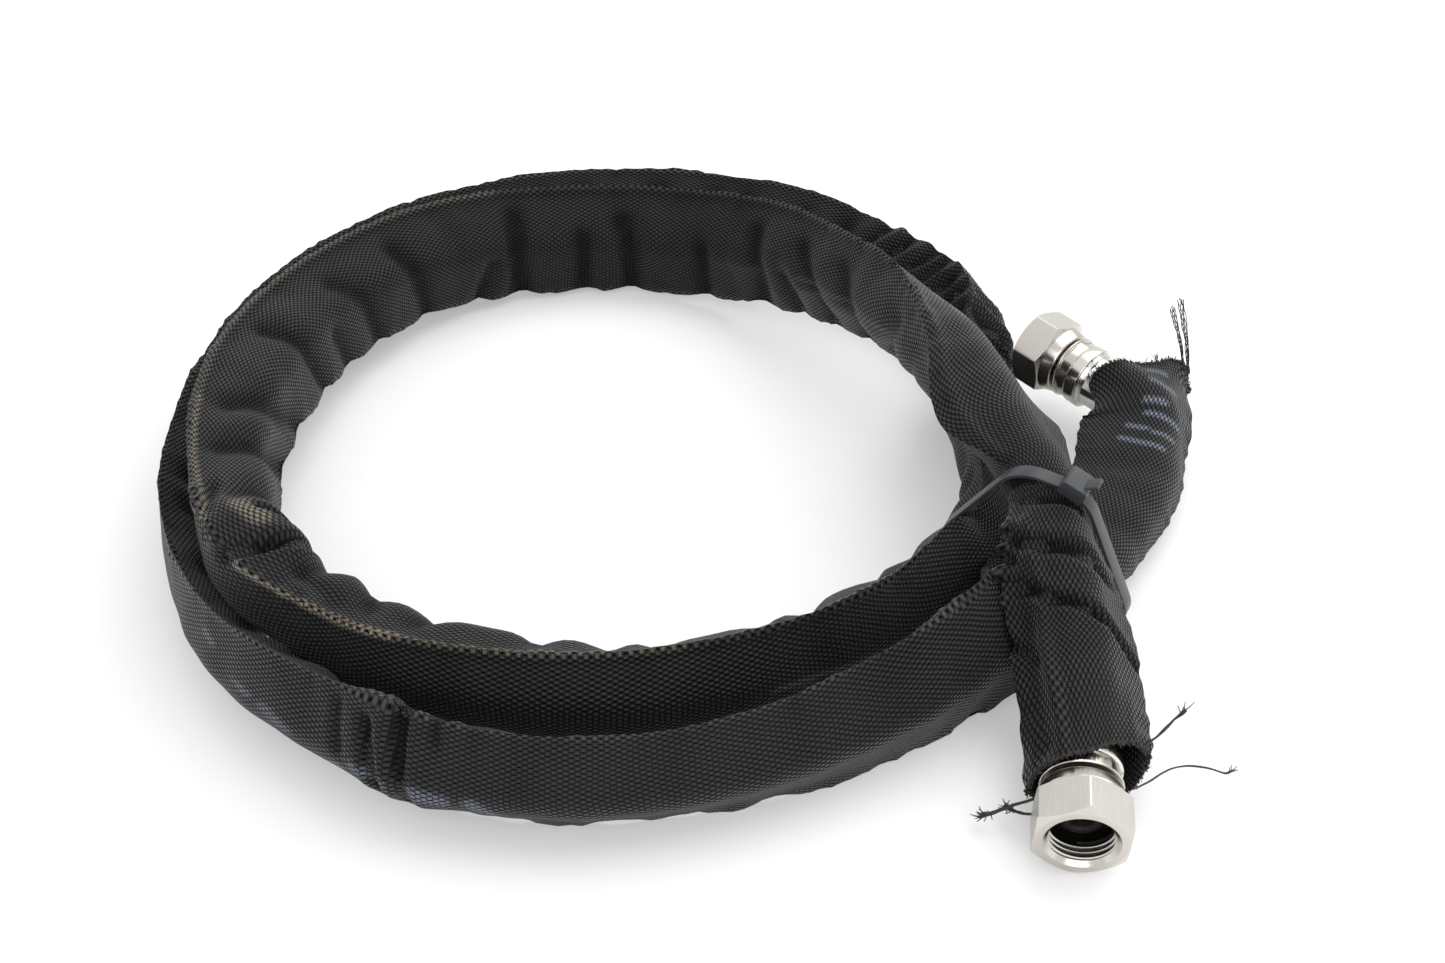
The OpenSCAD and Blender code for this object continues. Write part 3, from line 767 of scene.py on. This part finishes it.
# Direction outwards from the section, smoothed round the creases
along_section = np.roll(section, -1, 1) - np.roll(section, 1, 1)
outwards = unit(np.stack([along_section[..., 1], -along_section[..., 0]], -1))

dice = np.random.default_rng(7)
relief = on_rings(stations, VALLEYS, valley)
relief += on_rings(stations, RIDGES + SWELLS, swell)
# Rolls on the inside of the bend, with more of them by chance where little of it shows
s = CHANCE_FROM
while s < SLEEVE_LENGTH - STRAIGHT_B:
    s += dice.uniform(*CHANCE_STEP)
    lean = dice.uniform(*CHANCE_LEAN)
    ROLLS.append((dice.uniform(*CHANCE_WIDTH), [(s - lean, 50), (s, 74), (s + lean, 92)]))
turned_in = np.where(W_OF < 30, W_OF + 100, W_OF)
inner_side = eased(ramp(turned_in, 42, 12) * ramp(turned_in, 100, -16))
# Only the bends gather: not the straight ends
bend = ramp(stations, STRAIGHT_A, 40) * ramp(stations, SLEEVE_LENGTH - STRAIGHT_B, -40)
# A valley sinks until the cloth is 9.3 from the hose's axis, and by 1.8 at most
lowest = -np.clip(fullness - 9.3, 0, 1.8)
height = np.interp(stations, np.arange(0, 2300, 23), dice.uniform(*ROLL_RISE, 100))
relief += (bend[:, None] * inner_side[None]
           * (lowest[:, None] + height[:, None] * rolls(stations, ROLLS)))
# Rolls round the outside where the sleeve is pushed together
pushed_here = ramp(stations, PUSHED_FROM, 12) * ramp(stations, PUSHED_TO, -14)
turned_out = np.where(W_OF > 62, W_OF - 100, W_OF)
outer_side = ramp(np.abs(turned_out - 3), 44, -10)
# The sharp upper crease has less room to swell than the sides
outer_side *= 1 - 0.62 * np.exp(-(((W_OF + 50) % 100 - 50) / 5) ** 2)
relief += (pushed_here[:, None] * outer_side[None]
           * (PUSHED_RISE * rolls(stations, PUSHED) - PUSHED_SINK))
# Slow unevenness of the whole sleeve
for k in range(16):
    reach = dice.uniform(14, 70)
    size = WANDER * reach**0.75 * dice.uniform(0.5, 1.3)
    wave = stations[:, None] / reach + dice.integers(-2, 3) * W_OF[None] / 100
    relief += size * np.sin(2 * PI * wave + dice.uniform(0, 6))
# Short puckers next to the creases
for k in range(5):
    reach = dice.uniform(5.5, 11)
    edge = np.exp(-((((W_OF + 25) % 50 - 25) / 5) ** 2))
    relief += PUCKER * edge[None] * np.sin(2 * PI * stations[:, None] / reach + dice.uniform(0, 6))

# The cloth rests on the hose where a fold is deep. How far a valley lies below its neighbours sets
# its painted shade
relief = np.maximum(relief, HOSE_AND_WALL - np.maximum(fullness, HOSE_AND_WALL)[:, None])
blurred = np.array([relief[max(0, i - 5) : i + 6].mean(0) for i in range(RINGS)])
hollow = np.clip((blurred - relief) / DEEP, 0, 1)

skin = rows[:, None, :3] + section[..., :1] * up[:, None] + section[..., 1:] * out[:, None]
push = outwards[..., :1] * up[:, None] + outwards[..., 1:] * out[:, None]
skin = skin + relief[..., None] * push
# The cut ends
near = eased(np.clip(1 - stations / MOUTH_BLEND, 0, 1))
axis_a = unit(BACK_A)
right_a = unit(np.cross(axis_a, [0, 0, 1.0]))
above_a = np.cross(right_a, axis_a)
edge_a = periodic(MOUTH_A_EDGE, W_OF)
edge_a = FIT_A + edge_a[:, :1] * axis_a + edge_a[:, 1:2] * right_a + edge_a[:, 2:] * above_a
skin += near[:, None, None] * (edge_a - skin[0])[None]
near = eased(np.clip(1 - (SLEEVE_LENGTH - stations) / MOUTH_BLEND, 0, 1))
edge_b = periodic(MOUTH_B_EDGE, W_OF)
edge_b = edge_b[:, :1] * ways[-1] + edge_b[:, 1:2] * [1, 0, 0] + edge_b[:, 2:] * [0, 0, 1]
skin += near[:, None, None] * edge_b[None]
skin[..., 2] = np.maximum(skin[..., 2], FLOOR_GAP)

# Inside of the cloth: the same form, one cloth thickness inwards
inner_n = ROUND // INNER_SHARE
keep = [0]
for i in range(1, RINGS):
    if stations[i] - stations[keep[-1]] >= LINING_STEP or i == RINGS - 1:
        keep.append(i)
lining = skin[keep][:, ::INNER_SHARE]
lining = lining - push[keep][:, ::INNER_SHARE] * SLEEVE_WALL
lining[..., 2] = np.maximum(lining[..., 2], FLOOR_GAP + SLEEVE_WALL)

outer_total = RINGS * ROUND
faces = grid_faces(RINGS, ROUND, 0, True).tolist()
faces += grid_faces(len(keep), inner_n, outer_total).tolist()
# The rims: each face joins a few points of the outside to two of the inside
for end, outer_base, inner_base in (
    (0, 0, outer_total),
    (1, outer_total - ROUND, outer_total + (len(keep) - 1) * inner_n),
):
    for j in range(inner_n):
        a = [outer_base + (j * INNER_SHARE + k) % ROUND for k in range(INNER_SHARE + 1)]
        c, d = inner_base + (j + 1) % inner_n, inner_base + j
        face = a + [c, d]
        faces.append(face if end == 0 else face[::-1])
sleeve = new_object("protective_sleeve_cloth",
                    np.vstack([skin.reshape(-1, 3), lining.reshape(-1, 3)]), faces)
# The map of the yarns: how many round, and how many along
yarns = np.zeros((len(sleeve.data.vertices), 2))
for part, n, places in ((slice(outer_total), ROUND, stations),
                        (slice(outer_total, None), inner_n, stations[keep])):
    yarns[part, 0] = np.tile(np.arange(n) * GIRTH / n / YARN_ROUND, len(places))
    yarns[part, 1] = np.repeat(places / YARN_ALONG, n)
layer = sleeve.data.uv_layers.new(name="yarns")
flat = yarns[read(sleeve.data.loops, "vertex_index", kind=int)]
# The last face of each ring closes the round, so its far corners carry one round more
turn_round = GIRTH / YARN_ROUND
face_of = np.repeat(np.arange(len(faces)), [len(face) for face in faces])
most = np.zeros(len(faces))
np.maximum.at(most, face_of, flat[:, 0])
flat[:, 0] += np.where(most[face_of] - flat[:, 0] > turn_round / 2, turn_round, 0)
layer.data.foreach_set("uv", flat.astype(np.float32).ravel())
worn, faded = (np.clip(on_rings(stations, lines, mark), 0, 1.5) for lines in (WORN, FADED))
for name, values in (("wear", worn), ("ink", faded), ("hollow", hollow)):
    amount = np.zeros(len(sleeve.data.vertices))
    amount[:outer_total] = values.ravel()
    layer = sleeve.data.attributes.new(name, "FLOAT", "POINT")
    layer.data.foreach_set("value", amount.astype(np.float32))
use(sleeve, sleeve_cloth)
smooth(sleeve, 60)
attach(sleeve, "root")
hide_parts("protective_sleeve")

# ---------------- fittings
# Sizes along a fitting are measured back from the nut's front face
NUT_AF = 27.0
CORNER_R = NUT_AF / 2 / math.cos(PI / 6)
FACE_R = NUT_AF / 2 - 0.5
HEX_LENGTH = 13.0
SHOULDER_R, SHOULDER_BACK_R, SHOULDER_ROUND = 13.4, 12.2, 1.2
SHOULDER_END = 18.2
MOUTH_R = 11.0
CREST_R, ROOT_R, THREAD_PITCH = 9.315, 10.48, 1.814
THREAD_END = 7.4
RELIEF_R = 10.7
SEAT_END = 12.35
JOURNAL_R = 8.05
WIRE_AT, WIRE_R = 14.6, 0.85
RIM_R = 5.2, 5.7  # inner and outer edge of the nipple's front rim
TURNED_SIDES = 96
WELD = 0.002  # points nearer than this become one


def close_up():
    """Welds the open mesh's double points and turns its faces outwards."""
    bpy.ops.mesh.select_all(action="SELECT")
    bpy.ops.mesh.remove_doubles(threshold=WELD * MM)
    bpy.ops.mesh.fill_holes(sides=4)
    bpy.ops.mesh.normals_make_consistent(inside=False)
    end_edit()


def turned(name, profile):
    """A ring turned round the Z axis from a closed outline of [radius, place] in millimetres."""
    deselect()
    r, z = profile[0]
    bpy.ops.mesh.primitive_circle_add(vertices=TURNED_SIDES, radius=r * MM, location=(0, 0, 0))
    obj = bpy.context.active_object
    obj.name = name
    edit_all()
    bpy.ops.transform.translate(value=(0, 0, z * MM))
    for r_next, z_next in profile[1:] + profile[:1]:
        bpy.ops.mesh.extrude_region_move(
            TRANSFORM_OT_translate={"value": (0, 0, (z_next - z) * MM)})
        bpy.ops.transform.resize(value=(r_next / r, r_next / r, 1),
                                 center_override=(0, 0, z_next * MM))
        r, z = r_next, z_next
    close_up()
    return obj


def cut(obj, other, operation):
    """Applies a boolean of the other object and removes that one."""
    select_only(obj)
    modifier = obj.modifiers.new("cut", "BOOLEAN")
    modifier.operation = operation
    modifier.object = other
    modifier.solver = "EXACT"
    bpy.ops.object.modifier_apply(modifier=modifier.name)
    bpy.data.objects.remove(other)


def arc(r, z, radius, start, stop, steps=4):
    angles = np.radians(np.linspace(start, stop, steps + 1))
    return [(r + radius * math.cos(a), z + radius * math.sin(a)) for a in angles]


def nut_blank(name):
    """Turned blank with chamfers, shoulder, bore, seat and the groove of the retaining wire."""
    front_rise = (CORNER_R - FACE_R) * math.tan(PI / 6)
    back_rise = (CORNER_R - SHOULDER_R) * math.tan(PI / 6)
    # Front face and the hexagon's chamfers
    profile = [(MOUTH_R + 0.25, 0), (FACE_R, 0), (CORNER_R + 0.3, front_rise + 0.17),
               (CORNER_R + 0.3, HEX_LENGTH - back_rise), (SHOULDER_R + 0.1, HEX_LENGTH)]
    # Neck and rounded shoulder
    profile += [(SHOULDER_R - 0.25, HEX_LENGTH + 0.25), (SHOULDER_R - 0.1, HEX_LENGTH + 0.8)]
    profile += arc(SHOULDER_BACK_R + 0.1 - SHOULDER_ROUND, SHOULDER_END - SHOULDER_ROUND,
                   SHOULDER_ROUND, 15, 90)
    # Back bore with half the wire's groove
    profile += [(JOURNAL_R + 0.5, SHOULDER_END), (JOURNAL_R, SHOULDER_END - 0.5),
                (JOURNAL_R, WIRE_AT + WIRE_R), (JOURNAL_R + WIRE_R, WIRE_AT + 0.6),
                (JOURNAL_R + WIRE_R, WIRE_AT - 0.6), (JOURNAL_R, WIRE_AT - WIRE_R)]
    # Seat, relief, thread and the mouth's chamfer
    profile += [(JOURNAL_R, SEAT_END + 0.2), (RELIEF_R, SEAT_END - 0.4),
                (RELIEF_R, THREAD_END + 0.6), (ROOT_R, THREAD_END + 0.4),
                (ROOT_R, 1.5), (9.65, 1.35), (MOUTH_R, 0.02)]
    return turned(name, profile)


def helical_thread(name):
    """Inside thread as one helical ridge, run out in the mouth's chamfer."""
    sink = 0.15  # how far the ridge reaches into the wall
    root_share, crest_share = 0.98, 0.16  # width at the root by the pitch, at the crest by the root
    deep = ROOT_R + sink - CREST_R
    middle = (CREST_R + deep / 2) * MM
    deselect()
    bpy.ops.mesh.primitive_plane_add(size=1, location=(0, 0, 0))
    ridge = bpy.context.active_object
    ridge.name = name
    edit_all()
    bpy.ops.transform.rotate(value=PI / 2, orient_axis="X", center_override=(0, 0, 0))
    bpy.ops.transform.resize(value=(deep * MM, 1, THREAD_PITCH * root_share * MM),
                             center_override=(0, 0, 0))
    bpy.ops.transform.translate(value=(middle, 0, 0))
    bpy.ops.mesh.select_all(action="DESELECT")
    end_edit()
    for vertex in ridge.data.vertices:
        vertex.select = vertex.co.x < middle
    bpy.ops.object.mode_set(mode="EDIT")
    bpy.ops.transform.resize(value=(1, 1, crest_share), center_override=(CREST_R * MM, 0, 0))
    bpy.ops.mesh.select_all(action="SELECT")
    bpy.ops.transform.translate(value=(0, 0, -THREAD_PITCH * 0.7 * MM))
    end_edit()
    screw = ridge.modifiers.new("thread", "SCREW")
    screw.angle = 2 * PI
    screw.screw_offset = THREAD_PITCH * MM
    screw.iterations = 5
    screw.steps = TURNED_SIDES
    screw.render_steps = TURNED_SIDES
    screw.use_normal_calculate = True
    bpy.ops.object.modifier_apply(modifier=screw.name)
    edit_all()
    close_up()
    deselect()
    # The chamfer's cone narrows by one for each step back
    bpy.ops.mesh.primitive_cone_add(vertices=TURNED_SIDES, radius1=(MOUTH_R + 4) * MM,
                                    radius2=(MOUTH_R - 3) * MM, depth=7 * MM,
                                    location=(0, 0, -0.5 * MM))
    cut(ridge, bpy.context.active_object, "DIFFERENCE")
    return ridge


def place(obj, at, back, roll):
    """Turns a piece drawn along +Z from the nut's front face to where its fitting lies."""
    b = unit(np.array(back))
    select_only(obj)
    obj.matrix_world = (Matrix.Translation(Vector(at) * MM)
                        @ Matrix.Rotation(math.atan2(b[1], b[0]), 4, "Z")
                        @ Matrix.Rotation(math.acos(b[2]), 4, "Y")
                        @ Matrix.Rotation(math.radians(roll), 4, "Z"))
    bpy.context.view_layer.update()
    bpy.ops.object.transform_apply(location=True, rotation=True, scale=True)


def paint_where(obj, at, back, material, chosen):
    """Gives a material to the faces that a test picks by depth, distance from the axis and lie."""
    obj.data.materials.append(material)
    axis = unit(np.array(back))
    polygons = obj.data.polygons
    centre, normal = (read(polygons, what, 3).reshape(-1, 3) for what in ("center", "normal"))
    arm = centre / MM - np.array(at)
    depth = arm @ axis
    r = np.linalg.norm(arm - depth[:, None] * axis, axis=1)
    slots = read(polygons, "material_index", kind=int)
    slots[chosen(depth, r, np.abs(normal @ axis))] = len(obj.data.materials) - 1
    polygons.foreach_set("material_index", slots.astype(np.int32))


def swivel_nut(name, at, back, roll):
    """A nut cut to its hexagon, threaded, laid on its fitting and finished place by place."""
    nut = nut_blank(name)
    deselect()
    bpy.ops.mesh.primitive_cylinder_add(vertices=6, radius=CORNER_R * MM,
                                        depth=(SHOULDER_END + 4) * MM, location=(0, 0, 0))
    hexagon = bpy.context.active_object
    edit_all()
    bpy.ops.transform.rotate(value=PI / 6, orient_axis="Z", center_override=(0, 0, 0))
    bpy.ops.transform.translate(value=(0, 0, SHOULDER_END / 2 * MM))
    bpy.ops.mesh.bevel(offset=0.3 * MM, segments=3, affect="EDGES")
    end_edit()
    cut(nut, hexagon, "INTERSECT")
    ridge = helical_thread(name + "_ridge")
    select_only(nut)
    ridge.select_set(True)
    bpy.ops.object.join()
    use(nut, plated_steel)
    place(nut, at, back, roll)
    smooth(nut, 25)
    # Ground flats of the hexagon, with streaks along the nut that draw the light out into bands
    brushed = plain_material("brushed_steel_" + name[-1], "#d8d4cc", 0.33, 1.0, grain_mm=0.25,
                             grain=0.1, bump_mm=0.012, along=back)
    paint_where(nut, at, back, brushed, lambda depth, r, lie: (lie < 0.05)
                & (r > NUT_AF / 2 - 0.3) & (depth < HEX_LENGTH))
    # Painted shade on the thread's roots, then darker painted shade on all that lies behind the
    # thread
    paint_where(nut, at, back, thread_root_shade_steel, lambda depth, r, lie: (r > ROOT_R - 0.38)
                & (r < RELIEF_R + 0.2) & (depth > 1.5) & (depth < THREAD_END))
    paint_where(nut, at, back, bore_shade_steel, lambda depth, r, lie: (r < RELIEF_R + 0.2)
                & (depth > THREAD_END - 0.6) & (depth < SHOULDER_END - 0.6))
    return nut


def refined(name, bevel_mm, material, angle=28):
    """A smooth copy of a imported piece, with its sharp edges broken by a narrow bevel."""
    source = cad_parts[name]
    piece = source.copy()
    piece.data = source.data.copy()
    piece.name = name + "_finished"
    link(piece)
    select_only(piece)
    edit_all()
    bpy.ops.mesh.remove_doubles(threshold=0.005 * MM)
    end_edit()
    if bevel_mm:
        modifier = piece.modifiers.new("edges", "BEVEL")
        modifier.width = bevel_mm * MM
        modifier.segments = 2
        modifier.limit_method = "ANGLE"
        modifier.angle_limit = math.radians(angle)
        bpy.ops.object.modifier_apply(modifier=modifier.name)
    use(piece, material)
    smooth(piece, angle)
    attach(piece, "root")
    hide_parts(name)
    return piece


for end, at, back, roll in (("a", FIT_A, BACK_A, ROLL_A), ("b", FIT_B, BACK_B, ROLL_B)):
    nut = swivel_nut("threaded_nut_" + end, at, back, roll)
    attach(nut, "nut_" + end)
    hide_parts("swivel_nut_" + end)
    nipple = refined("nipple_" + end, 0.22, plated_steel)
    # Painted shade on the bore and the cone; the rim between them keeps its bright plating
    paint_where(nipple, at, back, bore_shade_steel, lambda depth, r, lie: (depth < HEX_LENGTH + 1)
                & ((r < RIM_R[0]) | (r > RIM_R[1]) & (r < JOURNAL_R - 0.15)))
    refined("ferrule_" + end, 0.12, crimped_steel)
    refined("retaining_wire_" + end, 0, spring_wire, 60)
    refined("cone_oring_" + end, 0, oring_rubber, 60)
refined("cable_tie", 0.3, tie_nylon)

# ---------------- loose yarn at the cut ends
def strands(name, lines, sides=5):
    """Thin filaments along lines of points, each with its radius at the root and at the tip."""
    points, faces = [], []
    for path, root_r, tip_r in lines:
        path = np.array(path, float)
        base, count = len(points), len(path)
        r = np.linspace(root_r, tip_r, count)[:, None, None]
        points.extend((path[:, None] + rings_round(path, sides) * r).reshape(-1, 3))
        faces += grid_faces(count, sides, base, True).tolist()
        faces.append([base + k for k in range(sides)])
        faces.append([base + (count - 1) * sides + k for k in reversed(range(sides))])
    obj = new_object(name, points, faces)
    use(obj, yarn_nylon)
    smooth(obj, 60)
    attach(obj, "root")


def above_floor(line, lowest):
    """The line's points, none of them lower than that."""
    line = np.array(line)
    line[:, 2] = np.maximum(line[:, 2], lowest)
    return line


def loose_yarn(path, filaments, spread, r, ends, seed):
    """Filaments wound round a path that flare at its tip: line, radius at its root and its tip."""
    pick = np.random.default_rng(seed)
    path = smooth_through(np.array(path, float), 5)
    share = np.linspace(0, 1, len(path))
    way = ways_of(path)
    up, out = frames_of(way, np.zeros(len(path)))
    made = []
    for k in range(filaments):
        # Each winds by 9 radians and swings out to its tip
        turn = 2 * PI * k / filaments + 9 * share
        off = spread * (0.35 + 0.65 * share**2) * (1 + 0.3 * pick.standard_normal())
        line = path + off[:, None] * (up * np.cos(turn)[:, None] + out * np.sin(turn)[:, None])
        made.append((line, r, r * 0.8))
    for k in range(ends):
        away = unit(way[-1] + 0.9 * pick.standard_normal(3) * [1, 1, 0.5])
        start = path[-1 - k % 4]
        long = pick.uniform(1.2, 3.2)
        made.append(([start, start + away * long * 0.5, start + (away + [0, 0, 0.15]) * long],
                     r * 0.7, r * 0.4))
    return [(above_floor(line, 0.4), a, b) for line, a, b in made]


def cut_edge(ring, outwards_way, count, longest, seed, thin, thick):
    """Short filaments round a cut edge of the cloth."""
    pick = np.random.default_rng(seed)
    made = []
    for k in range(count):
        t = pick.uniform(0, len(ring))
        i = int(t)
        start = ring[i] + (ring[(i + 1) % len(ring)] - ring[i]) * (t - i)
        away = unit(np.array(outwards_way) + 0.55 * pick.standard_normal(3))
        long = pick.uniform(0.4, 1) ** 2 * longest
        middle = start + away * long * 0.5
        tip = start + unit(away + 0.4 * pick.standard_normal(3)) * long
        line = above_floor([start - away * 0.8, middle, tip], 0.3)
        made.append((line, pick.uniform(thin, thick), thin * 0.7))
    return made


# Yarns that hang out at each mouth: path, filaments, spread, radius, short ends
FRAYS_A = [
    ([(101.5, -181, 14), (98.8, -181.5, 13), (94.6, -180.4, 10), (90.3, -179.7, 7),
      (85.2, -179.7, 5)], 5, 0.42, 0.3, 26),
    ([(100.5, -186, 13), (98.5, -185.2, 11), (95.8, -181.2, 8), (92.8, -176.6, 6)],
     4, 0.36, 0.28, 22),
    ([(131, -177.5, 27), (131.7, -176.5, 30), (134.9, -175.7, 33), (139.1, -173.1, 36),
      (142.6, -171, 38)], 4, 0.3, 0.28, 8),
    ([(128, -182, 18), (129.4, -179.7, 16), (135, -173.5, 13), (140.3, -166.8, 10),
      (145, -162.4, 8), (149.8, -159.3, 6), (154, -158.6, 5), (157.8, -158.4, 4),
      (161.7, -159.1, 3), (164, -157.6, 2.5)], 4, 0.26, 0.25, 8),
]
FRAYS_B = [
    ([(189.3, 46, 24.4), (188.1, 46, 28.6), (186.3, 46, 36.1), (183.8, 46, 43.5),
      (180.7, 46, 52.2)], 6, 0.9, 0.19, 5),
    ([(190.9, 46, 23.3), (190.2, 46, 27.8), (188.6, 46, 36.1), (186.3, 46, 44.9),
      (183.7, 46, 55.6)], 7, 1.1, 0.19, 5),
    ([(178.6, 46, 22.3), (178.2, 46, 26.5), (177.4, 46, 31.8)], 5, 0.7, 0.17, 3),
    ([(175, 46, 22.3), (174.6, 46, 25.4), (173.6, 46, 28.6)], 4, 0.6, 0.17, 3),
]
# Along each edge a fringe of fine filaments and one of thicker stubs: count, longest, seed,
# thinnest and thickest
for end, frays, first_seed, edge, way, fringes in (
    ("a", FRAYS_A, 11, skin[0], -unit(BACK_A),
     ((260, 2.2, 3, 0.1, 0.2), (160, 1.3, 5, 0.25, 0.42))),
    ("b", FRAYS_B, 31, skin[-1], ways[-1],
     ((200, 2.4, 4, 0.1, 0.2), (200, 1.8, 6, 0.28, 0.46))),
):
    lines = []
    for k, fray in enumerate(frays):
        lines += loose_yarn(*fray, first_seed + k)
    for fringe in fringes:
        lines += cut_edge(edge, way, *fringe)
    strands("frayed_yarn_" + end, lines)
